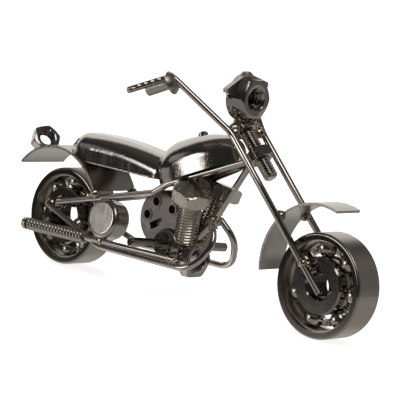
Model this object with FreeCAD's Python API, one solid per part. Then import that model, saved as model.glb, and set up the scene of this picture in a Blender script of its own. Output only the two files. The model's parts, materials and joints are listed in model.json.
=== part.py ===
import FreeCAD, Part
import math
import os
from FreeCAD import Placement, Rotation, Vector

# Motorcycle ornament welded from ball bearings, nuts, bolts, bent wire and sheet steel.
# Millimetres. +X is the riding direction, +Y the rider's left, +Z up. The tyres stand on Z = 0.
# Everything is built about the middle of the wheelbase and moved at the end, so that the
# origin lies under the middle of the whole ornament.

# ---------------------------------------------------------------- driving dimensions
wheelbase = 121.0
tyre_diameter = 35.0
tyre_width = 11.0
tyre_edge_round = 0.8
tyre_wall = 2.9                        # tread to shoulder
seal_step_depth = 1.3                  # recess beside each shoulder, where a seal would sit
seal_step_height = 0.6
hub_edge = 0.5                         # chamfer on a bearing's inner ring

front_bore = 9.0
front_inner_ring = 19.4
front_ball = 6.35
front_ball_count = 7
front_ball_start = -17.0               # first ball, from the top
rear_bore = 14.0
rear_inner_ring = 20.6
rear_ball = 5.95
rear_ball_count = 8
rear_ball_start = 0.0
race_clearance = 0.06                  # all round a ball in its raceways
pocket_clearance = 0.05                # all round a ball in its cage
cage_sheet = 0.6
cage_band = 3.0

wire = 2.3                             # frame, fork and handlebar wire
hub_gap = 0.8                          # between a tyre's face and the frame wires beside it
bead = 1.9                             # radius of a weld bead

# steering, fork and handlebar: "along" is down the steering axis, from the steering nut
rake = 45.9                            # steering axis, from the vertical
fork_length = 51.5                     # steering nut to the axle's level
fork_trail = 1.1                       # axle behind the fork legs' line
fork_half_width = 8.0
fork_tip = 3.6                         # leg past the axle
fork_crown = 9.6                       # bend between leg and handlebar, above the steering nut
fork_bend = 12.0
nut_flats = 8.0
nut_height = 4.0
nut_turn = -14.0
thread_clearance = 0.06
steering_bolt_diameter = 5.0
bolt_above = 9.6
bolt_below = 9.2
bolt_head_height = 3.5
bolt_end_chamfer = 0.7
head_clearance = 0.3                   # bolt head's corners to the tank
bar_bend = 2.8
riser = (-27.0, 18.3, 22.5)            # handlebar's bend, from the steering nut
grip = (-5.2, 15.1, -5.8)              # handlebar's end, from its bend
mirror_head = 8.2
mirror_head_height = 2.3
mirror_shank = 3.9
mirror_length = 9.6
mirror_drop = 2.2                      # mirror's axis under the handlebar's bend
mirror_aim = (0.872, -0.257, 0.417)
lamp_flats = 13.0
lamp_height = 7.2
lamp_bore = 6.65
lamp_countersink = 8.4
lamp_flange = 15.8
lamp_flange_height = 1.4
lamp_place = (-11.7, 18.2)             # flange's back, from the steering nut
wing_span = 20.4                       # the small wing nut upside down over the headlamp
wing_drop = 4.4
wing_depth = 2.8
wing_sheet = 2.0
wing_ahead = 1.2                       # from the flange's back
wing_tilt = 7.2
boss_diameter = 4.4
boss_top = 8.7                         # above the headlamp's axis

# fenders
fender_sheet = 0.9
front_fender_width = 12.0
front_fender_radius = 23.0
front_fender_centre = (-2.5, 3.8)      # from the front axle
front_fender_arc = (72.0, 189.0)
rear_fender_width = 20.8
rear_fender_radius = 23.8
rear_fender_centre = (-1.95, 1.6)      # from the rear axle
rear_fender_arc = (28.0, 140.0)
tail_nut_flats = 9.6
tail_nut_height = 4.2
tail_nut_bore = 5.0
tail_nut_angle = 126.0
tail_nut_turn = 18.0

# tank and seat
tank_tilt = 24.0
tank_tip = (-6.1, -2.6)                # front of the tank's rim, from the steering nut
tank_rear_length = 13.6
tank_front_length = 24.7
tank_half_width = 9.2
tank_height = 13.6
tank_sheet = 1.0
tank_cap_diameter = 3.4
tank_cap_height = 1.2
tank_cap_back = 16.5                   # from the front of the rim, along it
seat_width = 16.0
seat_height = 10.2
seat_sheet = 1.0
seat_corner = 6.6                      # in plan
seat_round = 5.8                       # along the top edge
seat_ahead_of_axle = 1.0               # its rear end
seat_sink = 3.5                        # seat's rim under the fender's crest
seat_into_tank = 7.0
seat_crown = 2.2

# frame wires
down_tube_length = 31.2
down_tube_head = (-1.4, 0.0)            # upper end, from the middle of the steering nut
down_tube_slope = 57.0
down_tube_foot = (-8.0, -8.6)          # lower end, from the bend in the down tube
down_tube_bend = 6.0
loop_bend = 7.0
loop_toe_bend = 9.0
loop_top = (0.7, 2.8, 1.3)             # upper end, from the down tube's bend
loop_front = (6.8, 5.0, -5.1)
loop_toe = (1.8, 10.7, -15.9)
lower_rail_heel = (24.5, 10.5, -6.0)   # from the rear axle
heel_bend = 14.0
lower_rail_end = (-6.6, 3.4)
upper_rail_end = (-1.5, 4.8)
rail_under_tank = 0.1                  # how far the tank's rim sinks over the rails
rail_head_back = 4.0                   # from the tank's middle, along its rim
rail_head_out = 8.8
rail_knee = (-6.0, 9.4, -4.2)          # from the rail's head
rail_neck_out = 3.0
rail_bend = 5.0

# engine, from the down tube's bend
crankcase_place = (-14.8, -10.7)
crankcase_radius = 6.0
crankcase_half_length = 7.5
crankcase_round = 2.5
gearbox_place = (-20.6, -2.5)
gearbox_radius = 10.0
gearbox_half_length = 5.0
gearbox_edge = 0.8
port_places = ((-5.7, 0.7), (-2.1, 5.8), (5.7, 4.4))
port_diameter = 3.0
port_rim = 4.2
port_rim_height = 0.3
port_depth = 2.5
slot_place = (-1.2, -1.8)
slot_length = 6.0
slot_width = 2.4
slot_angle = 28.0
cylinder_diameter = 8.0
cylinder_flats = 13.0
cylinder_head_height = 5.3
cylinder_length = 17.4                 # under the head
right_head = (-2.7, -9.0, 10.0)        # middle of the head
right_aim = (0.344, -0.319, 0.884)
right_turn = 32.0
left_head = (-5.9, 8.4, 9.8)
left_aim = (0.13, 0.22, 0.966)
left_turn = 18.0
engine_nut_flats = 12.0
engine_nut_height = 4.5
engine_nut_bore = 6.65
engine_nut_place = (-4.7, -14.1)       # front face
footpeg_diameter = 3.3
footpeg_place = (-14.8, -10.6)
footpeg_aim = (0.039, 1.0, -0.067)
footpeg_reach = 23.5                   # each side
washer_outside = 7.7
washer_height = 1.1
oil_tank_radius = 7.0
oil_tank_length = 8.0
oil_tank_round = 1.6
oil_tank_lean = 11.0
oil_tank_place = (25.8, -12.0, 4.4)    # outer face, from the rear axle

# exhaust
exhaust_rear = (-13.0, -11.5, -4.9)    # from the rear axle
exhaust_front = (-6.3, -9.7, -13.9)    # from the down tube's bend
exhaust_rod = 2.0
sleeve_diameter = 4.6                  # the close coil spring, as a plain sleeve
sleeve_length = 29.6
tip_diameter = 4.4
tip_length = 1.6

# ---------------------------------------------------------------- reference points
right, left = -1, 1
origin = Vector(0, 0, 0)
up = Vector(0, 0, 1)
tyre_radius = tyre_diameter / 2
shoulder_radius = tyre_radius - tyre_wall
hub_side = tyre_width / 2 + hub_gap + wire / 2
front_axle = Vector(wheelbase / 2, 0, tyre_radius)
rear_axle = Vector(-wheelbase / 2, 0, tyre_radius)


def polar(angle, x=1.0):
    """A direction in the upright plane of the ornament, from +X towards +Z."""
    return Vector(x * math.cos(math.radians(angle)), 0, x * math.sin(math.radians(angle)))


along = polar(rake - 90)
back = polar(rake - 180)
neck = front_axle - along * fork_length - back * fork_trail
tube_end = neck - polar(down_tube_slope) * down_tube_length
tank_line = polar(tank_tilt)
tank_normal = polar(tank_tilt + 90)
tank_front = neck + Vector(tank_tip[0], 0, tank_tip[1])
tank_middle = tank_front - tank_line * tank_front_length
fender_middle = rear_axle + Vector(rear_fender_centre[0], 0, rear_fender_centre[1])
front_fender_middle = front_axle + Vector(front_fender_centre[0], 0, front_fender_centre[1])


def from_point(point, offset, side=1):
    """A point at an offset of (ahead, up) or (ahead, out, up) from another."""
    if len(offset) == 2:
        return point + Vector(offset[0], 0, offset[1])
    return point + Vector(offset[0], side * offset[1], offset[2])


def on_fork(distance, out=0.0, side=1):
    """A point down the steering axis from the steering nut, and out to one side."""
    return neck + along * distance + Vector(0, side * out, 0)


def line_meets_circle(start, direction, centre, radius):
    """Distances along a line in an upright plane at which it crosses a circle there."""
    gap = Vector(start.x - centre.x, 0, start.z - centre.z)
    flat = Vector(direction.x, 0, direction.z)
    a = flat.dot(flat)
    b = gap.dot(flat)
    root = math.sqrt(b * b - a * (gap.dot(gap) - radius * radius))
    return (-b - root) / a, (-b + root) / a


# ---------------------------------------------------------------- building blocks
def stand(shape, place, axis, turn=0.0):
    """Set a shape that was built up along Z at a place, pointing along an axis."""
    spin = Rotation(up, turn)
    aim = Rotation(up, Vector(*axis))
    return shape.transformed(Placement(place, aim.multiply(spin)).toMatrix(), True)


def across(shape, place):
    """Lay a shape that was built about Z across the ornament, about a place."""
    return stand(shape, place, (0, 1, 0))


def cut(shape, *tools):
    """Take tools away from a shape."""
    for tool in tools:
        shape = shape.cut(tool)
    return shape


def revolve(points):
    """Turn a closed outline of (radius, height) points about Z."""
    corners = [Vector(radius, 0, height) for radius, height in points]
    face = Part.Face(Part.makePolygon(corners + corners[:1]))
    return face.revolve(origin, up, 360)


def cylinder(radius, length, chamfer=0.0):
    """A round bar up from Z = 0, with both ends chamfered."""
    bar = [(0, 0), (radius - chamfer, 0), (radius, chamfer)]
    bar += [(radius, length - chamfer), (radius - chamfer, length), (0, length)]
    return revolve(bar) if chamfer else Part.makeCylinder(radius, length)


def hexagon(flats, height, both_ends=True):
    """A hexagonal bar up from Z = 0, flats facing +X and -X, corners eased at its ends."""
    corner = flats / math.sqrt(3)
    points = []
    for step in range(7):
        angle = math.radians(30 + 60 * step)
        points.append(Vector(corner * math.cos(angle), corner * math.sin(angle), 0))
    bar = Part.Face(Part.makePolygon(points)).extrude(Vector(0, 0, height))
    face = 0.475 * flats
    ease = (corner - face) * math.tan(math.radians(30))
    foot = [(0, 0), (face, 0), (corner, ease)] if both_ends else [(0, 0), (corner, 0)]
    ease_body = foot + [(corner, height - ease), (face, height), (0, height)]
    return bar.common(revolve(ease_body))


def hex_nut(flats, height, bore, mouth=0.6):
    """A hexagonal nut up from Z = 0, with a countersink at each end of its bore."""
    hole = bore / 2
    through = [(0, -1), (hole + mouth + 1, -1), (hole, mouth), (hole, height - mouth)]
    through += [(hole + mouth + 1, height + 1), (0, height + 1)]
    return hexagon(flats, height).cut(revolve(through))


def hex_bolt(flats, head_height, shank, shank_length, chamfer):
    """A hexagon-headed bolt: head up from Z = 0, shank down from it."""
    rod = stand(cylinder(shank / 2, shank_length, chamfer), Vector(0, 0, -shank_length), (0, 0, 1))
    return hexagon(flats, head_height).fuse(rod)


def bent_rod(points, bends, diameter):
    """A round rod along straight runs joined by tangent arcs."""
    edges = []
    start = points[0]
    for before, corner, after, bend in zip(points, points[1:], points[2:], bends):
        into = (corner - before).normalize()
        away = (after - corner).normalize()
        turn = into.getAngle(away)
        reach = bend * math.tan(turn / 2)
        first = corner - into * reach
        last = corner + away * reach
        inside = (away - into).normalize()
        middle = corner + inside * (bend / math.cos(turn / 2) - bend)
        edges.append(Part.makeLine(start, first))
        edges.append(Part.Arc(first, middle, last).toShape())
        start = last
    edges.append(Part.makeLine(start, points[-1]))
    profile = Part.Wire(Part.makeCircle(diameter / 2, points[0], points[1] - points[0]))
    return Part.Wire(edges).makePipeShell([profile], True, False)


def rod(start, end, diameter, chamfer=0.0):
    """A straight round rod from one point to another."""
    return stand(cylinder(diameter / 2, (end - start).Length, chamfer), start, end - start)


def curved_strip(centre, radius, arc, width):
    """A fender: a sheet bent round an axis that lies across the ornament."""
    low, high = arc
    inner = radius - fender_sheet
    middle = (low + high) / 2
    outside = Part.Arc(*[centre + polar(angle, radius) for angle in (low, middle, high)]).toShape()
    inside = Part.Arc(*[centre + polar(angle, inner) for angle in (high, middle, low)]).toShape()
    ends = [
        Part.makeLine(centre + polar(high, radius), centre + polar(high, inner)),
        Part.makeLine(centre + polar(low, inner), centre + polar(low, radius)),
    ]
    face = Part.Face(Part.Wire([outside, ends[0], inside, ends[1]]))
    face.translate(Vector(0, -width / 2, 0))
    return face.extrude(Vector(0, width, 0))


def weld_beads(places, neighbours, radius=bead):
    """Round beads at some places, shaped by the pieces that they join."""
    outline = [(0, -radius), (radius / 2, -0.9 * radius), (radius, -0.3 * radius)]
    outline += [(r, -height) for r, height in reversed(outline)]
    drop = revolve(outline)
    beads = []
    for place in places:
        near = [piece for piece in neighbours if piece.distToShape(Part.Vertex(place))[0] < 2 * radius]
        lump = across(drop, place).cut(near) if near else across(drop, place)
        beads += [solid for solid in lump.Solids if solid.Volume > 0.1]
    return Part.makeCompound(beads)


def rims(shape, radius):
    """The level round edges of a shape turned about Z that have a given radius."""
    level = [edge for edge in shape.Edges if edge.BoundBox.ZLength < 0.01]
    return [edge for edge in level if abs(edge.BoundBox.XMax - radius) < 0.01]


# ---------------------------------------------------------------- bearings as wheels
def radial_bar(spot, radius, length):
    """A round bar through a ball's place that points away from the axle."""
    outward = Vector(spot).normalize()
    return Part.makeCylinder(radius, 2 * length, spot - outward * length, outward)


def bearing(axle, bore, inner_ring, ball, count, start):
    """The pieces of one deep-groove ball bearing, laid across the ornament at an axle."""
    half = tyre_width / 2
    pitch = (inner_ring / 2 + shoulder_radius) / 2
    groove = Part.makeTorus(pitch, ball / 2 + race_clearance)

    step = shoulder_radius + seal_step_height
    ledge = half - seal_step_depth
    outline = [(shoulder_radius, -ledge), (step, -ledge), (step, -half), (tyre_radius, -half)]
    outline += [(tyre_radius, half), (step, half), (step, ledge), (shoulder_radius, ledge)]
    tyre = revolve(outline)
    tyre = tyre.makeFillet(tyre_edge_round, rims(tyre, tyre_radius)).cut(groove)

    hub_radius = inner_ring / 2
    hub = [(bore / 2, -half + hub_edge), (bore / 2 + hub_edge, -half), (hub_radius - hub_edge, -half)]
    hub += [(hub_radius, -half + hub_edge)]
    hub += [(radius, -height) for radius, height in reversed(hub)]
    hub = revolve(hub).cut(groove)

    spots = []
    for index in range(count):
        angle = math.radians(90 - start + 360 * index / count)
        spots.append(Vector(pitch * math.cos(angle), pitch * math.sin(angle), 0))
    balls = Part.makeCompound([Part.makeSphere(ball / 2, spot) for spot in spots])

    pocket = ball / 2 + pocket_clearance
    cup = pocket + cage_sheet
    narrow = pitch - cage_band / 2
    wide = pitch + cage_band / 2
    band = revolve([(narrow, 0), (wide, 0), (wide, cup), (narrow, cup)])
    half_cage = revolve([(narrow, 0), (wide, 0), (wide, cage_sheet), (narrow, cage_sheet)])
    half_cage = half_cage.fuse([radial_bar(spot, cup, cage_band).common(band) for spot in spots])
    half_cage = cut(half_cage, *[radial_bar(spot, pocket, cage_band) for spot in spots])
    other_cage = half_cage.mirror(origin, up)

    parts = {
        "outer_ring": tyre,
        "inner_ring": hub,
        "balls": balls,
        "left_cage": half_cage,
        "right_cage": other_cage,
    }
    return {name: across(shape, axle) for name, shape in parts.items()}


# ---------------------------------------------------------------- front end
def fork_wire(side):
    """One wire: handlebar grip, riser, and the fork leg down to just past the axle."""
    bend = from_point(neck, riser, side)
    points = [
        from_point(bend, grip, side),
        bend,
        on_fork(-fork_crown, fork_half_width, side),
        on_fork(fork_length + fork_tip, fork_half_width, side),
    ]
    return bent_rod(points, [bar_bend, fork_bend], wire)


def mirror_rivet(side):
    """A mushroom-headed rivet under the handlebar's bend, its head looking ahead and up."""
    crown = (mirror_head ** 2 / 4 + mirror_head_height ** 2) / (2 * mirror_head_height)
    head = Part.makeSphere(crown, up * (mirror_head_height - crown))
    head = head.common(Part.makeCylinder(mirror_head, mirror_head))
    shank = cylinder(mirror_shank / 2, mirror_length, 0.3)
    shank.translate(up * -mirror_length)
    aim = (mirror_aim[0], side * mirror_aim[1], mirror_aim[2])
    place = from_point(neck, riser, side) - up * mirror_drop
    return stand(head.fuse(shank), place, aim)


def headlamp():
    """A flanged nut that looks ahead."""
    flange = lamp_flange / 2
    shoulder = lamp_flats / math.sqrt(3)
    collar = [(0, 0), (flange - 0.4, 0), (flange, 0.4), (flange, 0.8)]
    collar += [(shoulder, lamp_flange_height + 0.6), (0, lamp_flange_height + 0.6)]
    body = revolve(collar).fuse(hexagon(lamp_flats, lamp_height, False))
    hole = lamp_bore / 2
    mouth = (lamp_countersink - lamp_bore) / 2
    through = [(0, -1), (hole, -1), (hole, lamp_height - mouth)]
    through += [(hole + mouth + 1, lamp_height + 1), (0, lamp_height + 1)]
    return stand(body.cut(revolve(through)), from_point(neck, lamp_place), (1, 0, 0))


def headlamp_wings(lamp):
    """A small wing nut upside down over the headlamp: a boss and two wings."""
    half = wing_span / 2
    corners = [
        Vector(0, -half, boss_top - wing_drop),
        Vector(0, 0, boss_top),
        Vector(0, half, boss_top - wing_drop),
        Vector(0, half, boss_top - wing_drop - wing_depth / 2),
        Vector(0, half / 2, boss_top - wing_drop - wing_depth),
        Vector(0, -half / 2, boss_top - wing_drop - wing_depth),
        Vector(0, -half, boss_top - wing_drop - wing_depth / 2),
    ]
    wings = Part.Face(Part.makePolygon(corners + corners[:1])).extrude(Vector(wing_sheet, 0, 0))
    boss = cylinder(boss_diameter / 2, lamp_flats / 2, 0.9)
    boss.translate(Vector(wing_sheet / 2, 0, boss_top + 0.3 - lamp_flats / 2))
    shape = wings.fuse(boss)
    shape.rotate(origin, Vector(1, 0, 0), wing_tilt)
    shape.translate(from_point(neck, lamp_place) + Vector(wing_ahead, 0, 0))
    filling = Part.makeCylinder(lamp_flats / 2, lamp_height, from_point(neck, lamp_place), Vector(1, 0, 0))
    return cut(shape, lamp, filling)


def steering_bolt():
    """The bolt that the fork turns on, screwed down through the steering nut."""
    length = bolt_above + bolt_below
    bolt = hex_bolt(nut_flats, bolt_head_height, steering_bolt_diameter, length, bolt_end_chamfer)
    return stand(bolt, on_fork(-bolt_above), -along, 30)


def steering_nut():
    """The nut welded to the head of the frame."""
    bore = steering_bolt_diameter + 2 * thread_clearance
    nut = hex_nut(nut_flats, nut_height, bore, 0.4)
    return stand(nut, on_fork(nut_height / 2), -along, nut_turn)


# ---------------------------------------------------------------- frame
def lower_rail(side):
    """One wire: down in front of the engine, back under it and up to the rear hub."""
    points = [
        from_point(tube_end, loop_top, side),
        from_point(tube_end, loop_front, side),
        from_point(tube_end, loop_toe, side),
        from_point(rear_axle, lower_rail_heel, side),
        from_point(rear_axle, (lower_rail_end[0], hub_side, lower_rail_end[1]), side),
    ]
    return bent_rod(points, [loop_bend, loop_toe_bend, heel_bend], wire)


def upper_rail(side):
    """One wire from the rear hub up to the tank and forward under its rim to the neck."""
    under = tank_normal * (wire / 2 - rail_under_tank)
    head = tank_middle - tank_line * rail_head_back - under
    nose = tank_front + tank_line * nut_flats - under
    points = [
        from_point(rear_axle, (upper_rail_end[0], hub_side, upper_rail_end[1]), side),
        from_point(head, rail_knee, side),
        from_point(head, (0, rail_head_out, 0), side),
        from_point(nose, (0, rail_neck_out / 3, 0), side),
    ]
    return bent_rod(points, [rail_bend, rail_bend], wire)


def tail_nut():
    """A nut that lies on the rear fender as the tail lamp."""
    reach = rear_fender_radius + tail_nut_flats / 2
    place = fender_middle + polar(tail_nut_angle, reach)
    radial = polar(tail_nut_angle)
    nut = hex_nut(tail_nut_flats, tail_nut_height, tail_nut_bore)
    nut = stand(nut, origin, polar(tail_nut_angle - 90))
    nut.rotate(origin, radial, -tail_nut_turn)
    nut.translate(place - polar(tail_nut_angle - 90, tail_nut_height / 2))
    return nut


# ---------------------------------------------------------------- tank and seat
def dome(inset):
    """The tank's outer or inner form: straight sides under a half-round, pointed top."""
    half_width = tank_half_width - inset
    quarters = []
    for length, way in ((tank_rear_length - inset, -1), (tank_front_length - inset, 1)):
        oval = Part.Ellipse(origin, length, half_width)
        start, end = (0.5, 1.0) if way < 0 else (0.0, 0.5)
        quarters.append(Part.ArcOfEllipse(oval, start * math.pi, end * math.pi).toShape())
    ends = Part.makeLine(Vector(inset - tank_rear_length, 0, 0), Vector(tank_front_length - inset, 0, 0))
    outline = Part.Face(Part.Wire(Part.__sortEdges__(quarters + [ends])))
    straight = tank_height - tank_half_width
    top = outline.revolve(origin, Vector(1, 0, 0), 360)
    top.translate(up * straight)
    side = outline.extrude(up * straight)
    other = side.mirror(origin, Vector(0, 1, 0))
    reach = 2 * tank_front_length
    above = Part.makeBox(2 * reach, 2 * reach, reach, Vector(-reach, -reach, straight))
    return top.common(above).fuse([side, other]).removeSplitter()


def lay_on_tank_line(shape):
    """Tilt a shape that was built level so that its middle and length follow the tank."""
    shape = shape.copy()
    shape.rotate(origin, Vector(0, 1, 0), -tank_tilt)
    shape.translate(tank_middle)
    return shape


def tank_cap(tank):
    """A small domed cap on top of the tank."""
    forward = tank_front_length - tank_cap_back
    round_height = tank_half_width * math.sqrt(1 - (forward / tank_front_length) ** 2)
    height = tank_height - tank_half_width + round_height
    cap = cylinder(tank_cap_diameter / 2, tank_cap_height + 1, 0.5)
    cap.translate(Vector(forward, 0, height - 1))
    return cut(lay_on_tank_line(cap), tank)


def seat_form(inset, rim):
    """The seat's outer or inner form: a round-cornered plan under a gently arched top."""
    half = seat_width / 2 - inset
    rear = rear_axle.x + seat_ahead_of_axle + inset
    front = tank_middle.x - tank_rear_length * tank_line.x + seat_into_tank - inset
    top = rim + seat_height - inset
    base = rim - inset
    block = Part.makeBox(front - rear, 2 * half, 2 * seat_height, Vector(rear, -half, base))
    upright = [edge for edge in block.Edges if edge.BoundBox.ZLength > seat_height]
    block = block.makeFillet(seat_corner - inset, upright)
    crest = rear + 0.35 * (front - rear)
    arch = Part.Arc(
        Vector(rear - 1, -seat_width, top - seat_crown / 2),
        Vector(crest, -seat_width, top),
        Vector(front + 1, -seat_width, top - 2 * seat_crown),
    ).toShape()
    corners = [arch.Vertexes[1].Point, Vector(front + 1, -seat_width, base)]
    corners += [Vector(rear - 1, -seat_width, base), arch.Vertexes[0].Point]
    roof = Part.Face(Part.Wire([arch] + Part.makePolygon(corners).Edges))
    block = block.common(roof.extrude(Vector(0, 2 * seat_width, 0)))
    edges = [edge for edge in block.Edges if edge.BoundBox.ZMin > rim + seat_height / 2]
    return block.makeFillet(seat_round - inset, edges)


# ---------------------------------------------------------------- engine
def crankcase():
    """A barrel across the frame, with rounded ends."""
    barrel = Part.makeCylinder(crankcase_radius, 2 * crankcase_half_length, up * -crankcase_half_length)
    barrel = barrel.makeFillet(crankcase_round, rims(barrel, crankcase_radius))
    return across(barrel, from_point(tube_end, crankcase_place))


def gearbox_face():
    """The ports and the slot of one face, as what to add and what to take away, from Z = 0."""
    raised = []
    sunk = []
    for place in port_places:
        spot = Vector(place[0], -place[1], 0)
        raised.append(Part.makeCylinder(port_rim / 2, port_rim_height, spot))
        sunk.append(Part.makeCylinder(port_diameter / 2, 2 * port_depth, spot - up * port_depth))
    slot = Part.makeBox(slot_length, slot_width, 2 * port_depth)
    slot.translate(Vector(-slot_length / 2, -slot_width / 2, -port_depth))
    slot.rotate(origin, up, -slot_angle)
    slot.translate(Vector(slot_place[0], -slot_place[1], 0))
    return raised, sunk + [slot]


def gearbox():
    """A round drum with rimmed ports and a slot in each face."""
    half = gearbox_half_length
    drum = cylinder(gearbox_radius, 2 * half, gearbox_edge)
    drum.translate(up * -half)
    raised, sunk = gearbox_face()
    for shape in raised + sunk:
        shape.translate(up * half)
    raised += [shape.mirror(origin, up) for shape in raised]
    sunk += [shape.mirror(origin, up) for shape in sunk]
    return across(cut(drum.fuse(raised), *sunk), from_point(tube_end, gearbox_place))


def cylinder_bolt(place, aim, turn):
    """A bolt that stands in the engine head up, as a cylinder."""
    bolt = hex_bolt(cylinder_flats, cylinder_head_height, cylinder_diameter, cylinder_length, 0.6)
    direction = Vector(*aim).normalize()
    middle = from_point(tube_end, place)
    return stand(bolt, middle - direction * (cylinder_head_height / 2), direction, turn)


def engine_nut():
    """The nut at the foot of the engine, looking ahead."""
    nut = hex_nut(engine_nut_flats, engine_nut_height, engine_nut_bore)
    place = from_point(tube_end, engine_nut_place) - Vector(engine_nut_height, 0, 0)
    return stand(nut, place, (1, 0, 0))


def footpeg_bar():
    """One rod across the engine, a foot peg at each end."""
    middle = from_point(tube_end, footpeg_place)
    reach = Vector(*footpeg_aim).normalize() * footpeg_reach
    return rod(middle - reach, middle + reach, footpeg_diameter, 0.4)


def footpeg_washer(side):
    """A washer on the foot peg bar, against the crankcase."""
    hole = footpeg_diameter / 2
    edge = washer_outside / 2
    ring = revolve([(hole, 0), (edge, 0), (edge, washer_height), (hole, washer_height)])
    direction = Vector(*footpeg_aim).normalize() * side
    return stand(ring, from_point(tube_end, footpeg_place) + direction * crankcase_half_length, direction)


def oil_tank():
    """A short drum beside the rear wheel, its outer face leaning up."""
    drum = Part.makeCylinder(oil_tank_radius, oil_tank_length)
    drum = drum.makeFillet(oil_tank_round, rims(drum, oil_tank_radius))
    lean = math.radians(oil_tank_lean)
    return stand(drum, from_point(rear_axle, oil_tank_place), (0, math.cos(lean), -math.sin(lean)))


# ---------------------------------------------------------------- exhaust
exhaust_start = from_point(rear_axle, exhaust_rear)
exhaust_end = from_point(tube_end, exhaust_front)
exhaust_line = (exhaust_end - exhaust_start).normalize()


def exhaust_collar(start, length, diameter):
    """A sleeve over the exhaust rod."""
    hole = exhaust_rod / 2
    edge = diameter / 2
    ring = revolve([(hole, 0), (edge, 0), (edge, length), (hole, length)])
    return stand(ring, exhaust_start + exhaust_line * start, exhaust_line)


# ---------------------------------------------------------------- assembly
pieces = {}

front_bearing = bearing(
    front_axle, front_bore, front_inner_ring, front_ball, front_ball_count, front_ball_start)
rear_bearing = bearing(rear_axle, rear_bore, rear_inner_ring, rear_ball, rear_ball_count, rear_ball_start)
for name, shape in front_bearing.items():
    pieces["front_" + name] = shape
for name, shape in rear_bearing.items():
    pieces["rear_" + name] = shape

# front end: the wires come first and the pieces welded to them are shaped to fit
for side, word in ((right, "right"), (left, "left")):
    pieces[word + "_fork_wire"] = fork_wire(side)
    pieces[word + "_mirror_rivet"] = cut(mirror_rivet(side), pieces[word + "_fork_wire"])
pieces["headlamp_nut"] = headlamp()
pieces["headlamp_wings"] = headlamp_wings(pieces["headlamp_nut"])
pieces["steering_bolt"] = cut(steering_bolt(), pieces["headlamp_nut"])
pieces["front_fender"] = curved_strip(
    front_fender_middle, front_fender_radius, front_fender_arc, front_fender_width)

fork_places = [on_fork(-bolt_above - bolt_head_height - 0.6, 0) + Vector(1.6, 0, 0)]
hub_middle = (front_bore + front_inner_ring) / 4
fender_line = front_fender_radius - fender_sheet / 2
for side in (right, left):
    leg_start = on_fork(0, fork_half_width, side)
    on_hub = line_meets_circle(leg_start, along, front_axle, hub_middle)[0]
    on_fender = line_meets_circle(leg_start, along, front_fender_middle, fender_line)[0]
    hub_weld_out = (tyre_width / 2 + fork_half_width - wire / 2) / 2
    fender_weld_out = (front_fender_width / 2 + fork_half_width - wire / 2) / 2
    fork_places.append(on_fork(on_hub, hub_weld_out, side))
    fork_places.append(on_fork(on_fender, fender_weld_out, side))
    fork_places.append(on_fork(-bolt_above - bolt_head_height / 2, nut_flats / 2 + 1.4, side))
    fork_places.append(on_fork(-bolt_above, nut_flats / 2 + 2.4, side))
fork_names = ["right_fork_wire", "left_fork_wire", "headlamp_nut", "headlamp_wings"]
fork_names += ["steering_bolt", "front_fender", "front_inner_ring"]
pieces["fork_weld_beads"] = weld_beads(fork_places, [pieces[name] for name in fork_names])

# engine
pieces["engine_nut"] = engine_nut()
pieces["footpeg_bar"] = cut(footpeg_bar(), pieces["engine_nut"])
pieces["crankcase"] = cut(crankcase(), pieces["engine_nut"], footpeg_bar())
solid_engine = [pieces["engine_nut"], pieces["footpeg_bar"], pieces["crankcase"]]
pieces["right_cylinder_bolt"] = cut(cylinder_bolt(right_head, right_aim, right_turn), *solid_engine)
pieces["left_cylinder_bolt"] = cut(cylinder_bolt(left_head, left_aim, left_turn), *solid_engine,
                                   pieces["right_cylinder_bolt"])
cylinders = [pieces["right_cylinder_bolt"], pieces["left_cylinder_bolt"]]
pieces["gearbox"] = cut(gearbox(), *solid_engine, *cylinders)

# frame
pieces["steering_nut"] = steering_nut()
bolt_way = Part.makeCylinder(nut_flats / 2, 6 * nut_height, on_fork(-3 * nut_height), along)
pieces["down_tube"] = cut(
    bent_rod([from_point(neck, down_tube_head), tube_end, from_point(tube_end, down_tube_foot)], [down_tube_bend], wire),
    *solid_engine, *cylinders, pieces["steering_nut"], bolt_way)
for side, word in ((right, "right"), (left, "left")):
    pieces[word + "_lower_rail"] = cut(lower_rail(side), pieces["down_tube"])
    pieces[word + "_upper_rail"] = cut(upper_rail(side), pieces["steering_nut"], bolt_way,
                                       pieces["down_tube"])
    pieces[word + "_footpeg_washer"] = cut(footpeg_washer(side), pieces["crankcase"], *cylinders)
pieces["left_upper_rail"] = cut(pieces["left_upper_rail"], pieces["right_upper_rail"])
rails = [pieces["right_upper_rail"], pieces["left_upper_rail"]]
for word in ("right", "left"):
    pieces[word + "_cylinder_bolt"] = cut(pieces[word + "_cylinder_bolt"], *rails)
cylinders = [pieces["right_cylinder_bolt"], pieces["left_cylinder_bolt"]]

tank_solid = lay_on_tank_line(dome(0.0))
head_way_radius = nut_flats / math.sqrt(3) + head_clearance
head_way = Part.makeCylinder(head_way_radius, bolt_above, on_fork(-1.5 * bolt_above), along)
pieces["fuel_tank"] = cut(tank_solid, lay_on_tank_line(dome(tank_sheet)), pieces["steering_nut"],
                          bolt_way, head_way, *rails, *cylinders)
pieces["tank_cap"] = tank_cap(tank_solid)
pieces["rear_fender"] = curved_strip(fender_middle, rear_fender_radius, rear_fender_arc, rear_fender_width)
fender_drum = across(Part.makeCylinder(rear_fender_radius, 40, Vector(0, 0, -20)), fender_middle)
pieces["tail_nut"] = cut(tail_nut(), fender_drum)
seat_rim = fender_middle.z + rear_fender_radius - seat_sink
seat = seat_form(0.0, seat_rim).cut(seat_form(seat_sheet, seat_rim))
pieces["seat_shell"] = cut(seat, fender_drum, tank_solid)
pieces["oil_tank"] = cut(oil_tank(), *rails)

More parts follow.
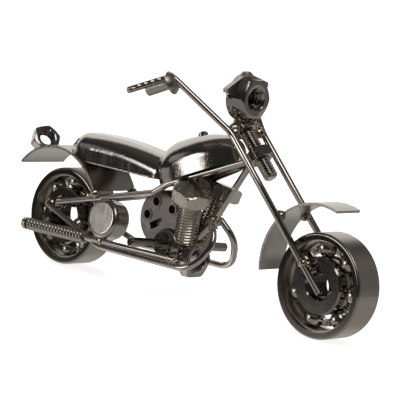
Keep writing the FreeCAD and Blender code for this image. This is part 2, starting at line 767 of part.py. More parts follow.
# exhaust
pieces["exhaust_rod"] = cut(rod(exhaust_start, exhaust_end, exhaust_rod, 0.3), pieces["right_lower_rail"])
pieces["exhaust_tip"] = exhaust_collar(0, tip_length, tip_diameter)
sleeve = exhaust_collar(tip_length, sleeve_length, sleeve_diameter)
pieces["exhaust_spring"] = cut(sleeve, pieces["right_lower_rail"])

# weld beads that hold the frame together
frame_places = []
rear_hub_middle = (rear_bore + rear_inner_ring) / 4
rear_weld_out = tyre_width / 2 + hub_gap / 2
for side in (right, left):
    upper_start = from_point(rear_axle, (upper_rail_end[0], hub_side, upper_rail_end[1]), side)
    lower_start = from_point(rear_axle, (lower_rail_end[0], hub_side, lower_rail_end[1]), side)
    heel = from_point(rear_axle, lower_rail_heel, side)
    toe = from_point(tube_end, loop_toe, side)
    frame_places.append(upper_start - Vector(0, side * (hub_side - rear_weld_out), 0.6))
    frame_places.append(lower_start - Vector(0, side * (hub_side - rear_weld_out), 0))
    share = line_meets_circle(lower_start, heel - lower_start, rear_axle, rear_hub_middle)[1]
    crossing = lower_start + (heel - lower_start) * share
    frame_places.append(Vector(crossing.x, side * rear_weld_out, crossing.z))
    fender_edge = fender_middle + polar(rear_fender_arc[0], rear_fender_radius - fender_sheet / 2)
    frame_places.append(Vector(fender_edge.x, side * (rail_knee[1] + 0.1), fender_edge.z - bead / 2))
    beside_case = from_point(tube_end, crankcase_place)
    frame_places.append(Vector(beside_case.x, side * (crankcase_half_length + 0.9), toe.z + 0.5))
    frame_places.append(from_point(tube_end, (0.3, 1.4, 0.6), side))
frame_places.append(tank_front + tank_line * 0.8)
frame_places.append(from_point(rear_axle, (oil_tank_place[0], oil_tank_place[1] + bead, -4.0)))
frame_places.append(exhaust_end + Vector(-1.0, 0.8, -1.2))
frame_names = ["rear_inner_ring", "rear_fender", "right_upper_rail", "left_upper_rail"]
frame_names += ["right_lower_rail", "left_lower_rail", "crankcase", "down_tube", "steering_nut"]
frame_names += ["fuel_tank", "oil_tank", "exhaust_rod", "engine_nut", "gearbox"]
frame_names += ["right_cylinder_bolt", "left_cylinder_bolt"]
frame_names += ["right_footpeg_washer", "left_footpeg_washer", "footpeg_bar"]
frame_neighbours = [pieces[name] for name in frame_names] + [bolt_way]
pieces["frame_weld_beads"] = weld_beads(frame_places, frame_neighbours)

# ---------------------------------------------------------------- output
bounds = Part.makeCompound(list(pieces.values())).optimalBoundingBox(False)
shift = Vector(-(bounds.XMin + bounds.XMax) / 2, 0, 0)
os.makedirs("parts", exist_ok=True)
for name, shape in pieces.items():
    solids = [solid for solid in shape.Solids if solid.Volume > 0.01]
    result = solids[0] if len(solids) == 1 else Part.makeCompound(solids)
    result.translate(shift)
    result.exportStep("parts/" + name + ".step")
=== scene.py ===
"""Visual model of a motorcycle ornament welded from ball bearings, nuts, bolts, wire and sheet steel."""
import json
import logging
import math
from dataclasses import dataclass, field
from enum import Enum
from typing import ClassVar

import bpy
from mathutils import Matrix, Vector, noise


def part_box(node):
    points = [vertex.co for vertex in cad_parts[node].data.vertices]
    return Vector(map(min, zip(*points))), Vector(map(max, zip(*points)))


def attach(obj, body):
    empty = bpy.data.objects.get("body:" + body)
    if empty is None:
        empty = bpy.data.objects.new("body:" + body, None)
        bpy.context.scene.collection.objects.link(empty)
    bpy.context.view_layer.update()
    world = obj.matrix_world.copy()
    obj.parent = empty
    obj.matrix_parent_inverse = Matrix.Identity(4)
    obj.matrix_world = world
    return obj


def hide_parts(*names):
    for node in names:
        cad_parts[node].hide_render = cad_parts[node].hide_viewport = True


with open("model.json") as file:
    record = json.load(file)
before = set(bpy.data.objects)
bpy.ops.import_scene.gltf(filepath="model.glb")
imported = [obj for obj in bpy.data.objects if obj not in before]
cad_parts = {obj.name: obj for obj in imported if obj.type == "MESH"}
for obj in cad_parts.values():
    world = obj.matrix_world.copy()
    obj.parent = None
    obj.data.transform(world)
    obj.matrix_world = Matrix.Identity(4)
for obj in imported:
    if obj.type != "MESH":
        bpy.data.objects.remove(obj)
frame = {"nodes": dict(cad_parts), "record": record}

MM = 0.001
"""One millimetre in the scene's metres."""

Piece = bpy.types.Object
Socket = bpy.types.NodeSocket
Triple = tuple[float, float, float]

log = logging.getLogger("motorcycle")

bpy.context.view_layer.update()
"""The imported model's box, noted before anything is added."""


class Body(Enum):
    """The rigid bodies that new pieces ride on."""

    FRAME = "frame"
    STEERING = "steering"
    FRONT_CAGE = "front_cage"
    REAR_CAGE = "rear_cage"


class Side(Enum):
    """The rider's two sides, as the sign of Y."""

    RIGHT = -1
    LEFT = 1


class Brush(Enum):
    """How the brush marks lie on a finish, as stretch factors along X, Y and Z."""

    NONE = (1.0, 1.0, 1.0)
    UPRIGHT = (1.0, 1.0, 0.07)
    ACROSS = (1.0, 0.06, 1.0)


# ---------------------------------------------------------------- placing and mesh tools
def clear_selection() -> None:
    """Deselect every object, so that operators act only on what comes next."""
    if bpy.context.object and bpy.context.object.mode != "OBJECT":
        bpy.ops.object.mode_set(mode="OBJECT")
    bpy.ops.object.select_all(action="DESELECT")


def take(name: str) -> Piece:
    """Name the primitive that was just added, and its mesh.

    Args:
        name: the piece's name.

    Returns:
        The named object.
    """
    piece = bpy.context.object
    piece.name = name
    piece.data.name = name
    return piece


def make_active(piece: Piece) -> None:
    """Select one piece alone and make it the active object.

    Args:
        piece: the piece.
    """
    clear_selection()
    piece.select_set(True)
    bpy.context.view_layer.objects.active = piece


def apply_modifiers(piece: Piece) -> None:
    """Apply all of a piece's modifiers, in order.

    Args:
        piece: the piece.
    """
    make_active(piece)
    for name in [modifier.name for modifier in piece.modifiers]:
        bpy.ops.object.modifier_apply(modifier=name)


def recalculate(piece: Piece, merge: float = 0.0) -> None:
    """Merge doubled points and turn all faces outwards.

    Args:
        piece: the piece, in object mode.
        merge: largest distance between points that are merged.
    """
    make_active(piece)
    bpy.ops.object.mode_set(mode="EDIT")
    bpy.ops.mesh.select_all(action="SELECT")
    if merge:
        bpy.ops.mesh.remove_doubles(threshold=merge)
    bpy.ops.mesh.normals_make_consistent(inside=False)
    bpy.ops.object.mode_set(mode="OBJECT")


def smooth(piece: Piece, angle: float = 35.0) -> None:
    """Shade a piece smooth, with edges sharper than an angle kept hard.

    Args:
        piece: the piece.
        angle: the angle in degrees.
    """
    make_active(piece)
    bpy.ops.object.shade_smooth_by_angle(angle=math.radians(angle))


def settle(piece: Piece, place: Matrix = Matrix()) -> Piece:
    """Put a piece that was made in millimetres in its place, in its mesh, in metres.

    Args:
        piece: the piece, modelled about its own origin.
        place: its turn and place in millimetres.

    Returns:
        The same piece, with its object at the origin.
    """
    piece.data.transform(Matrix.Scale(MM, 4) @ place @ piece.matrix_world)
    piece.matrix_world = Matrix()
    piece.data.update()
    return piece


def join(pieces: list[Piece], name: str) -> Piece:
    """Join several pieces into one.

    Args:
        pieces: the pieces, each already in its place.
        name: the joined piece's name.

    Returns:
        The joined piece.
    """
    clear_selection()
    for piece in pieces:
        piece.select_set(True)
    bpy.context.view_layer.objects.active = pieces[0]
    if len(pieces) > 1:
        bpy.ops.object.join()
    return take(name)


def copy_of(piece: Piece, place: Matrix, name: str) -> Piece:
    """Copy a piece, with a mesh of its own.

    Args:
        piece: the piece.
        place: where the copy's mesh goes, from the piece's.
        name: the copy's name.

    Returns:
        The copy.
    """
    twin = piece.copy()
    twin.data = piece.data.copy()
    twin.name = name
    twin.data.name = name
    bpy.context.scene.collection.objects.link(twin)
    twin.data.transform(place)
    return twin


def merged_copy(source: str, name: str) -> Piece:
    """A copy of a CAD node's mesh in millimetres, with its loose triangles merged.

    Args:
        source: the CAD node.
        name: the copy's name.

    Returns:
        The copy, with an object of its own.
    """
    piece = copy_of(node(source), Matrix.Scale(1 / MM, 4), name)
    piece.data.materials.clear()
    recalculate(piece, merge=0.002)
    return piece


def carve(piece: Piece, cutter: Piece) -> None:
    """Cut one piece out of another, and throw the cutter away.

    Args:
        piece: the piece that is cut.
        cutter: the shape that is taken out of it.
    """
    cut = piece.modifiers.new("cut", "BOOLEAN")
    cut.operation = "DIFFERENCE"
    cut.solver = "EXACT"
    cut.object = cutter
    apply_modifiers(piece)
    bpy.data.objects.remove(cutter)


def facing(place: Vector, axis: Vector) -> Matrix:
    """A matrix that sets what was built up along Z at a place, pointing along an axis.

    Args:
        place: the place, in millimetres.
        axis: the direction that Z takes.

    Returns:
        The matrix.
    """
    aim = axis.normalized().to_track_quat("Z", "Y").to_matrix().to_4x4()
    return Matrix.Translation(place) @ aim


def node(name: str) -> Piece:
    """The CAD node of that name."""
    return frame["nodes"][name]


def middle(name: str) -> Vector:
    """The middle of a CAD node's box, in millimetres."""
    low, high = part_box(name)
    return (Vector(low) + Vector(high)) / 2 / MM


# ---------------------------------------------------------------- shader wiring
@dataclass(frozen=True)
class Wiring:
    """The nodes of one material or of the world, and short ways to add to them.

    Args:
        tree: where the nodes go.
    """

    tree: bpy.types.NodeTree

    def add(self, kind: str, inputs: dict[str | int, object], output: str, **settings: object) -> Socket:
        """Add a node, with its inputs linked or set.

        Args:
            kind: the node's type, after "ShaderNode".
            inputs: what each input takes, a socket or a constant.
            output: the output to go on from.
            settings: the node's own settings.

        Returns:
            That output.
        """
        made = self.tree.nodes.new("ShaderNode" + kind)
        for name, value in settings.items():
            setattr(made, name, value)
        for name, value in inputs.items():
            if isinstance(value, Socket):
                self.tree.links.new(value, made.inputs[name])
            else:
                made.inputs[name].default_value = value
        return made.outputs[output]

    def show(self, kind: str, surface: Socket) -> None:
        """Add the output node, and link the shader that it shows."""
        end = self.tree.nodes.new("ShaderNode" + kind)
        self.tree.links.new(surface, end.inputs["Surface"])

    def math(self, operation: str, *values: object) -> Socket:
        """One arithmetic node on sockets and numbers."""
        return self.add("Math", dict(enumerate(values)), "Value", operation=operation)

    def vector(self, operation: str, *values: object) -> Socket:
        """One vector node on sockets and constants."""
        output = "Value" if operation in ("DOT_PRODUCT", "LENGTH") else "Vector"
        return self.add("VectorMath", dict(enumerate(values)), output, operation=operation)

    def span(self, value: Socket, start: float, end: float, low: float = 0.0, high: float = 1.0,
             kind: str = "LINEAR") -> Socket:
        """Spread a value over a new range.

        Args:
            value: the value.
            start: where it gives low.
            end: where it gives high.
            low: the new range's start.
            high: the new range's end.
            kind: how it goes from one to the other.

        Returns:
            The spread value.
        """
        limits = {"Value": value, "From Min": start, "From Max": end, "To Min": low, "To Max": high}
        return self.add("MapRange", limits, "Result", interpolation_type=kind)

    def step(self, value: Socket, start: float, end: float) -> Socket:
        """A soft step from 0 at start to 1 at end."""
        low, high = (0.0, 1.0) if start < end else (1.0, 0.0)
        return self.span(value, min(start, end), max(start, end), low, high, "SMOOTHSTEP")

    def mix(self, factor: Socket, plain: Socket, other: object, kind: str) -> Socket:
        """Blend a socket with a constant.

        Args:
            factor: 0 for the socket and 1 for the constant.
            plain: the socket.
            other: the constant.
            kind: "RGBA" for colours and "FLOAT" for numbers.

        Returns:
            The blend.
        """
        return self.add("Mix", {"Factor": factor, "A": plain, "B": other}, "Result", data_type=kind)

    def noise(self, place: Socket, per_mm: float, stretch: Triple = (1.0, 1.0, 1.0),
              detail: float = 3.0) -> Socket:
        """A noise pattern on the object's own coordinates.

        Args:
            place: the coordinates.
            per_mm: features to a millimetre.
            stretch: scale along each axis.
            detail: octaves.

        Returns:
            The pattern's factor.
        """
        scale = [factor * per_mm / MM for factor in stretch]
        moved = self.add("Mapping", {"Vector": place, "Scale": scale}, "Vector")
        return self.add("TexNoise", {"Vector": moved, "Scale": 1.0, "Detail": detail}, "Fac")


# ---------------------------------------------------------------- finishes
@dataclass(frozen=True)
class NickelFinish:
    """Black nickel over steel, with the tool marks and stains of one kind of piece.

    Args:
        name: the material's name.
        slot: the record's material slot; not used.
        colour: reflected colour, linear.
        stain: the warm colour it drifts to in patches.
        stained: how much of the surface drifts, 0 to 1.
        roughness: mean roughness.
        swing: how much the roughness varies.
        brush: direction of the brush marks.
        marks: brush marks to a millimetre.
        depth: depth of the brush marks' bump.
        ripple: depth of the slow waviness.
        patches: patches of stain to a millimetre.
        smears: handling marks to a millimetre.
        waves: slow waves to a millimetre.
        shade: share of the colour that is left in the darkest patches.
    """

    name: str
    slot: str
    colour: Triple
    stain: Triple = (0.44, 0.38, 0.31)
    stained: float = 0.1
    roughness: float = 0.12
    swing: float = 0.05
    brush: Brush = Brush.NONE
    marks: float = 2.0
    depth: float = 0.004
    ripple: float = 0.0
    patches: float = 0.28
    smears: float = 0.9
    waves: float = 0.35
    shade: float = 0.86

    def material(self) -> bpy.types.Material:
        """Build the material, or find the one that was built before.

        Returns:
            The material.
        """
        found = bpy.data.materials.get(self.name)
        if found:
            return found
        made = bpy.data.materials.new(self.name)
        made.use_nodes = True
        wiring = Wiring(made.node_tree)
        shader = made.node_tree.nodes["Principled BSDF"]
        shader.inputs["Metallic"].default_value = 1.0
        place = wiring.add("TexCoord", {}, "Object")
        looks = {"Base Color": self._colour, "Roughness": self._roughness, "Normal": self._bump}
        for name, look in looks.items():
            made.node_tree.links.new(look(wiring, place), shader.inputs[name])
        return made

    def _colour(self, wiring: Wiring, place: Socket) -> Socket:
        """The plating's colour, darker and warmer in patches.

        Args:
            wiring: the material's nodes.
            place: the object's own coordinates.

        Returns:
            The colour.
        """
        pattern = wiring.noise(place, self.patches, detail=5.0)
        colour = wiring.add("ValToRGB", {"Fac": pattern}, "Color")
        stops = colour.node.color_ramp.elements
        edge = 0.72 - 0.4 * self.stained
        for stop, level, tone in ((stops[0], edge - 0.14, self.colour), (stops[1], edge + 0.12, self.stain)):
            stop.position = level
            stop.color = (*tone, 1)
        stops.new(0.0).color = (*[self.shade * part for part in self.colour], 1)
        return colour

    def _roughness(self, wiring: Wiring, place: Socket) -> Socket:
        """The roughness, varied by handling marks.

        Args:
            wiring: the material's nodes.
            place: the object's own coordinates.

        Returns:
            The roughness.
        """
        pattern = wiring.noise(place, self.smears, self.brush.value, 6.0)
        smoothest = max(0.02, self.roughness - self.swing)
        return wiring.span(pattern, 0.3, 0.7, smoothest, self.roughness + self.swing)

    def _bump(self, wiring: Wiring, place: Socket) -> Socket:
        """Brush marks, over slow waves in the plating.

        Args:
            wiring: the material's nodes.
            place: the object's own coordinates.

        Returns:
            The bumped normal.
        """
        pattern = wiring.noise(place, self.marks, self.brush.value, 4.0)
        fine = {"Strength": 1.0, "Distance": self.depth * MM, "Height": pattern}
        if self.ripple:
            pattern = wiring.noise(place, self.waves, detail=2.0)
            slow = {"Strength": 1.0, "Distance": self.ripple * MM, "Height": pattern}
            fine["Normal"] = wiring.add("Bump", slow, "Normal")
        return wiring.add("Bump", fine, "Normal")


@dataclass(frozen=True)
class RingFinish(NickelFinish):
    """A bearing ring: a ground tread, and side faces that are polished darker.

    Args:
        face_from: distance from the ring's middle at which its side faces begin, in millimetres.
        face_blend: half the width over which they do.
        face_colour: reflected colour of the side faces, linear.
        face_roughness: roughness of the side faces.
    """

    face_from: float = 5.32
    face_blend: float = 0.08
    face_colour: Triple = (0.30, 0.275, 0.255)
    face_roughness: float = 0.06

    def _face(self, wiring: Wiring, place: Socket) -> Socket:
        """Mark the side faces.

        Args:
            wiring: the material's nodes.
            place: the object's own coordinates.

        Returns:
            1 on the side faces and 0 on the tread.
        """
        away = wiring.math("ABSOLUTE", wiring.add("SeparateXYZ", {"Vector": place}, "Y"))
        start, end = [(self.face_from + part) * MM for part in (-self.face_blend, self.face_blend)]
        return wiring.span(away, start, end)

    def _colour(self, wiring: Wiring, place: Socket) -> Socket:
        """The tread's colour, and the darker one of the side faces."""
        tread = super()._colour(wiring, place)
        return wiring.mix(self._face(wiring, place), tread, (*self.face_colour, 1), "RGBA")

    def _roughness(self, wiring: Wiring, place: Socket) -> Socket:
        """Fine grinding marks on the tread, and a mirror beside it."""
        tread = super()._roughness(wiring, place)
        return wiring.mix(self._face(wiring, place), tread, self.face_roughness, "FLOAT")


@dataclass(frozen=True)
class BoreFinish(NickelFinish):
    """A nut or ring with shade painted deep in its bore: its colour darkens there, where shade falls.

    Args:
        bore_middle: middle of the bore, in millimetres.
        bore_axis: its axis, towards the open face.
        bore_radius: radius within which the surface counts as bore.
        dark_from: distance from the middle, towards the open face, at which the painted shade begins.
        dark_full: distance at which it is full.
        inside: colour of the shade painted deep in the bore, linear.
    """

    bore_middle: Triple = (0.0, 0.0, 0.0)
    bore_axis: Triple = (1.0, 0.0, 0.0)
    bore_radius: float = 4.0
    dark_from: float = 2.0
    dark_full: float = 0.0
    inside: Triple = (0.04, 0.036, 0.032)

    def _painted_shade_mask(self, wiring: Wiring, place: Socket) -> Socket:
        """Mark where shade is painted, deep in the bore.

        Args:
            wiring: the material's nodes.
            place: the object's own coordinates.

        Returns:
            1 deep in the bore and 0 elsewhere.
        """
        away = wiring.vector("SUBTRACT", place, [part * MM for part in self.bore_middle])
        along = wiring.vector("DOT_PRODUCT", away, self.bore_axis)
        radius = wiring.vector("LENGTH", wiring.vector("CROSS_PRODUCT", away, self.bore_axis))
        near = wiring.span(radius, self.bore_radius * MM, (self.bore_radius - 0.1) * MM)
        deep = wiring.span(along, self.dark_from * MM, self.dark_full * MM)
        return wiring.math("MULTIPLY", near, deep)

    def _colour(self, wiring: Wiring, place: Socket) -> Socket:
        """The plating's colour, with shade painted deep in the bore."""
        plating = super()._colour(wiring, place)
        # painted shade: the colour turns dark deep in the bore, where shade falls
        return wiring.mix(self._painted_shade_mask(wiring, place), plating, (*self.inside, 1), "RGBA")


NICKEL = (0.47, 0.43, 0.40)
DARK_NICKEL = (0.38, 0.345, 0.32)

BRIGHT_WIRE = NickelFinish("bright_wire", "bright_nickel", (0.52, 0.475, 0.44),
                           roughness=0.06, swing=0.03, depth=0.003)
GROUND_RING = RingFinish("ground_ring", "satin_ring", (0.45, 0.41, 0.365), stained=0.05,
                         roughness=0.34, brush=Brush.ACROSS, marks=2.5, depth=0.003)
BEARING_BALL = NickelFinish("bearing_ball", "ball_steel", (0.64, 0.59, 0.52), stain=(0.46, 0.40, 0.28),
                            stained=0.2, roughness=0.17, swing=0.02, marks=1.0, depth=0.0005)
PRESSED_CAGE = NickelFinish("pressed_cage", "cage_steel", (0.46, 0.42, 0.37), stained=0.15,
                            roughness=0.18, marks=1.5, ripple=0.01)
DARK_FASTENER = NickelFinish("dark_fastener", "dark_nickel", DARK_NICKEL, roughness=0.10, depth=0.005)
ENGINE_BOLT = NickelFinish("engine_bolt", "dark_nickel", (0.58, 0.535, 0.475), roughness=0.19, depth=0.002)
SATIN_FASTENER = NickelFinish("satin_fastener", "satin_nickel", (0.52, 0.485, 0.44),
                              roughness=0.36, swing=0.06, marks=2.5, depth=0.006)
BRUSHED_SHEET = NickelFinish("brushed_sheet", "satin_sheet", NICKEL, stained=0.06, roughness=0.11,
                             swing=0.04, brush=Brush.UPRIGHT, marks=2.4, depth=0.020, ripple=0.03)
FENDER_SHEET = NickelFinish("fender_sheet", "satin_sheet", (0.43, 0.395, 0.36), stained=0.05,
                            roughness=0.26, brush=Brush.ACROSS, marks=1.6)
BRUSHED_DRUM = NickelFinish("brushed_drum", "dark_nickel", NICKEL, roughness=0.20, swing=0.06,
                            brush=Brush.UPRIGHT, marks=4.0, depth=0.003)
ROUGH_CASTING = NickelFinish("rough_casting", "dark_nickel", (0.24, 0.215, 0.20), stained=0.05,
                             roughness=0.33, swing=0.06, marks=1.2, depth=0.012, ripple=0.02)
MELTED_WELD = NickelFinish("melted_weld", "weld", (0.48, 0.43, 0.37), stain=(0.52, 0.42, 0.28),
                           stained=0.4, roughness=0.10, swing=0.06, marks=1.0, depth=0.008, ripple=0.02)
SPRING_STEEL = NickelFinish("spring_steel", "satin_nickel", (0.52, 0.48, 0.43), stained=0.12, roughness=0.13)
STAMPED_LIP = NickelFinish("stamped_lip", "bright_nickel", (0.56, 0.51, 0.46),
                           roughness=0.12, swing=0.08, marks=1.1, depth=0.12)


def dress(piece: Piece, finish: NickelFinish) -> None:
    """Give a piece one finish all over.

    Args:
        piece: a new piece or a CAD node.
        finish: its finish.
    """
    if piece.data.materials:
        for slot in piece.material_slots:
            slot.material = finish.material()
    else:
        piece.data.materials.append(finish.material())


def hand_over(piece: Piece, body: Body, finish: NickelFinish, *stands_for: str) -> None:
    """Finish a new piece: its material, the body it rides on and the nodes it stands for.

    Args:
        piece: the piece, in its place.
        body: the body it moves with.
        finish: its finish.
        stands_for: CAD nodes that it replaces.
    """
    dress(piece, finish)
    if stands_for:
        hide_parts(*stands_for)
    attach(piece, body.value)
    log.info("%s rides on %s, %d faces", piece.name, body.value, len(piece.data.polygons))


# ---------------------------------------------------------------- pieces of the ornament
@dataclass(frozen=True)
class Layout:
    """Places and directions that several pieces share, in millimetres.

    Args:
        front_axle: middle of the front bearing.
        rear_axle: middle of the rear bearing.
        neck: middle of the steering nut.
        along: the steering axis, downwards.
        tube_end: the bend at the down tube's lower end.
    """

    front_axle: Vector
    rear_axle: Vector
    neck: Vector
    along: Vector
    tube_end: Vector
    tube_slope: ClassVar[float] = math.radians(57.0)
    tube_length: ClassVar[float] = 31.2

    @classmethod
    def measured(cls) -> "Layout":
        """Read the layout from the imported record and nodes.

        Returns:
            The layout.
        """
        joints = {joint["name"]: joint for joint in frame["record"]["behaviour"]["joints"]}
        steering = joints["steering"]
        front = Vector(joints["front_wheel_spin"]["pos_m"]) / MM
        rear = Vector(joints["rear_wheel_spin"]["pos_m"]) / MM
        neck = Vector(steering["pos_m"]) / MM
        tube_end = neck - cls.tube_length * Vector((math.cos(cls.tube_slope), 0, math.sin(cls.tube_slope)))
        return cls(front, rear, neck, -Vector(steering["axis"]), tube_end)

    def on_fork(self, distance: float) -> Vector:
        """A point down the steering axis from the steering nut."""
        return self.neck + self.along * distance


@dataclass
class Sweep:
    """An outline swept round and up along Z, as a spring or a screw thread is.

    Args:
        name: the piece's name.
        outline: the outline's (radius, height) corners, in order.
        pitch: rise in each turn.
        turns: number of turns.
        steps: steps in each turn.
        crease: angle above which edges stay hard, in degrees.
    """

    name: str
    outline: list[tuple[float, float]]
    pitch: float
    turns: float
    steps: int = 32
    crease: float = 50.0

    @classmethod
    def round_wire(cls, name: str, radius: float, wire: float, pitch: float, turns: float) -> "Sweep":
        """A close coil of round wire.

        Args:
            name: the piece's name.
            radius: radius of the wire's own middle.
            wire: diameter of the wire.
            pitch: rise in each turn.
            turns: number of turns.

        Returns:
            The coil's sweep.
        """
        corners = 10
        angles = [2 * math.pi * index / corners for index in range(corners)]
        outline = [(radius + wire / 2 * math.cos(a), wire / 2 * math.sin(a)) for a in angles]
        return cls(name, outline, pitch, turns, steps=28)

    def build(self) -> Piece:
        """Sweep the outline and close its ends.

        Returns:
            The swept piece, about its own origin, in millimetres.
        """
        clear_selection()
        bpy.ops.mesh.primitive_circle_add(vertices=len(self.outline), radius=1, fill_type="NOTHING")
        piece = take(self.name)
        for point, (radius, height) in zip(piece.data.vertices, self.outline):
            point.co = Vector((radius, 0, height))
        screw = piece.modifiers.new("sweep", "SCREW")
        screw.axis = "Z"
        screw.angle = 2 * math.pi * self.turns
        screw.screw_offset = self.pitch * self.turns
        screw.steps = round(self.steps * self.turns)
        screw.render_steps = screw.steps
        apply_modifiers(piece)
        bpy.ops.object.mode_set(mode="EDIT")
        bpy.ops.mesh.select_all(action="SELECT")
        bpy.ops.mesh.fill_holes(sides=len(self.outline))
        bpy.ops.object.mode_set(mode="OBJECT")
        recalculate(piece)
        smooth(piece, self.crease)
        return piece


@dataclass
class Exhaust:
    """The close coil spring over the exhaust rod.

    Args:
        layout: shared places.
        rear: the rod's rear end, from the rear axle.
        front: its front end, from the bend of the down tube.
        tip: length of the plain tip behind the spring.
        length: length of the spring.
        outside: outside diameter of the coils.
        wire: diameter of its wire.
        turns: number of coils.
    """

    layout: Layout
    rear: Triple = (-13.0, -11.5, -4.9)
    front: Triple = (-6.3, -9.7, -13.9)
    tip: float = 1.6
    length: float = 29.6
    outside: float = 4.6
    wire: float = 1.3
    turns: float = 18.0

    def build(self) -> None:
        """Wind the spring and lay it on the rod."""
        start = self.layout.rear_axle + Vector(self.rear)
        line = (self.layout.tube_end + Vector(self.front) - start).normalized()
        pitch = (self.length - self.wire) / self.turns
        radius = self.outside / 2 - self.wire / 2
        spring = Sweep.round_wire("exhaust_coils", radius, self.wire, pitch, self.turns).build()
        foot = start + line * (self.tip + self.wire / 2)
        settle(spring, facing(foot, line))
        hand_over(spring, Body.FRAME, SPRING_STEEL, "exhaust_spring")


@dataclass
class Groove:
    """The helical groove of a screw thread, as a cutter.

    Args:
        start: where the groove starts, in millimetres.
        axis: the screw's axis.
        surface: radius of the shank or bore that it is cut into.
        depth: depth of the groove, negative in a shank and positive in a bore.
        pitch: rise in each turn.
        length: length along the axis.
    """

    start: Vector
    axis: Vector
    surface: float
    depth: float
    pitch: float
    length: float

    def build(self) -> Piece:
        """Sweep a V with a flat root, from clear of the surface.

        Returns:
            The cutter, in its place, in millimetres.
        """
        root, wide, clear = [share * self.pitch for share in (0.06, 0.43, 0.075)]
        side = math.copysign(1, self.depth)
        spread = wide + clear * (wide - root) / abs(self.depth)
        mouth = self.surface - side * clear
        foot = self.surface + self.depth
        outline = [(mouth, -spread), (foot, -root), (foot, root), (mouth, spread)]
        cutter = Sweep("groove", outline, self.pitch, self.length / self.pitch, steps=36).build()
        cutter.data.transform(facing(self.start, self.axis))
        return cutter


@dataclass
class ThreadedNode:
    """A bolt or nut with its threads cut, which stands for the plain CAD node.

    Args:
        source: the CAD node.
        body: the body it rides on.
        finish: its finish.
        grooves: the grooves cut into it.
    """

    source: str
    body: Body
    finish: NickelFinish
    grooves: list[Groove]

    def build(self) -> None:
        """Cut the grooves out of a merged copy of the node."""
        piece = merged_copy(self.source, self.source + "_threaded")
        for groove in self.grooves:
            carve(piece, groove.build())
        smooth(piece, 28)
        settle(piece)
        hand_over(piece, self.body, self.finish, self.source)


@dataclass
class Threads:
    """The threads of the cylinder bolts, the steering bolt and the open nuts.

    Args:
        layout: shared places.
        cylinder_radius: radius of the cylinder bolts.
        cylinder_head: height of their heads.
        cylinder_shank: length of their threads.
        cylinder_depth: depth of their threads.
        coarse: pitch of the cylinder bolts and the engine nut.
        right_head: middle of the right bolt's head, from the bend of the down tube.
        right_aim: the way it points.
        left_head: middle of the left bolt's head, from the same bend.
        left_aim: the way it points.
        steering_radius: radius of the steering bolt.
        steering_span: where its thread starts and ends, down from the steering nut.
        steering_depth: depth of its thread.
        fine: pitch of the steering bolt.
        nut_bore: radius of the headlamp nut's and the engine nut's bore.
        lamp: pitch in the headlamp nut.
        tail_bore: radius of the tail nut's bore.
        tail_aim: the tail nut's axis.
        small: pitch in the tail nut.
        bore_depth: depth of a nut's thread, as a share of its pitch.
        lit_depth: distance from a nut's middle at which the shade painted in its bore begins.
    """

    layout: Layout
    cylinder_radius: float = 4.0
    cylinder_head: float = 5.3
    cylinder_shank: float = 17.4
    cylinder_depth: float = 0.68
    coarse: float = 1.25
    right_head: Triple = (-2.7, -9.0, 10.0)
    right_aim: Triple = (0.344, -0.319, 0.884)
    left_head: Triple = (-5.9, 8.4, 9.8)
    left_aim: Triple = (0.13, 0.22, 0.966)
    steering_radius: float = 2.5
    steering_span: tuple[float, float] = (-9.5, 9.6)
    steering_depth: float = 0.48
    fine: float = 1.0
    nut_bore: float = 3.325
    lamp: float = 1.5
    tail_bore: float = 2.5
    tail_aim: Triple = (0.7694, -0.309, 0.559)
    small: float = 1.0
    bore_depth: float = 0.5
    lit_depth: float = 2.6

    def build(self) -> None:
        """Cut every visible thread."""
        self._cylinder("right", Vector(self.right_head), Vector(self.right_aim))
        self._cylinder("left", Vector(self.left_head), Vector(self.left_aim))
        start, end = self.steering_span
        shank = Groove(self.layout.on_fork(start), self.layout.along, self.steering_radius,
                       -self.steering_depth, self.fine, end - start)
        ThreadedNode("steering_bolt", Body.STEERING, DARK_FASTENER, [shank]).build()
        ahead = Vector((1, 0, 0))
        self._bore("headlamp_nut", Body.STEERING, ahead, self.nut_bore, self.lamp, length=8.2)
        self._bore("engine_nut", Body.FRAME, ahead, self.nut_bore, self.coarse, length=6.0)
        self._bore("tail_nut", Body.FRAME, Vector(self.tail_aim), self.tail_bore, self.small, length=5.4)

    def _cylinder(self, word: str, head: Vector, aim: Vector) -> None:
        """A bolt that stands as a cylinder, threaded from under its head down.

        Args:
            word: "right" or "left".
            head: the middle of its head, from the bend of the down tube.
            aim: the way the head points.
        """
        down = -aim.normalized()
        start = self.layout.tube_end + head + down * (self.cylinder_head / 2 + self.coarse / 2)
        groove = Groove(start, down, self.cylinder_radius, -self.cylinder_depth, self.coarse,
                        self.cylinder_shank)
        ThreadedNode(word + "_cylinder_bolt", Body.FRAME, ENGINE_BOLT, [groove]).build()

    def _bore(self, source: str, body: Body, axis: Vector, radius: float, pitch: float,
              length: float) -> None:
        """An open nut, threaded right through.

        Args:
            source: the CAD node.
            body: the body it rides on.
            axis: the nut's axis.
            radius: radius of its bore.
            pitch: rise in each turn.
            length: length of the groove, more than the nut's.
        """
        aim = axis.normalized()
        centre = middle(source)
        depth = self.bore_depth * pitch
        groove = Groove(centre - aim * length / 2, aim, radius, depth, pitch, length)
        # The nut's bore gets shade painted deep inside, by its finish's colour.
        finish = BoreFinish(source + "_finish", "dark_nickel", DARK_NICKEL, roughness=0.10, depth=0.003,
                            bore_middle=tuple(centre), bore_axis=tuple(aim),
                            bore_radius=radius + depth + 0.1, dark_from=self.lit_depth, dark_full=-1.0)
        ThreadedNode(source, body, finish, [groove]).build()


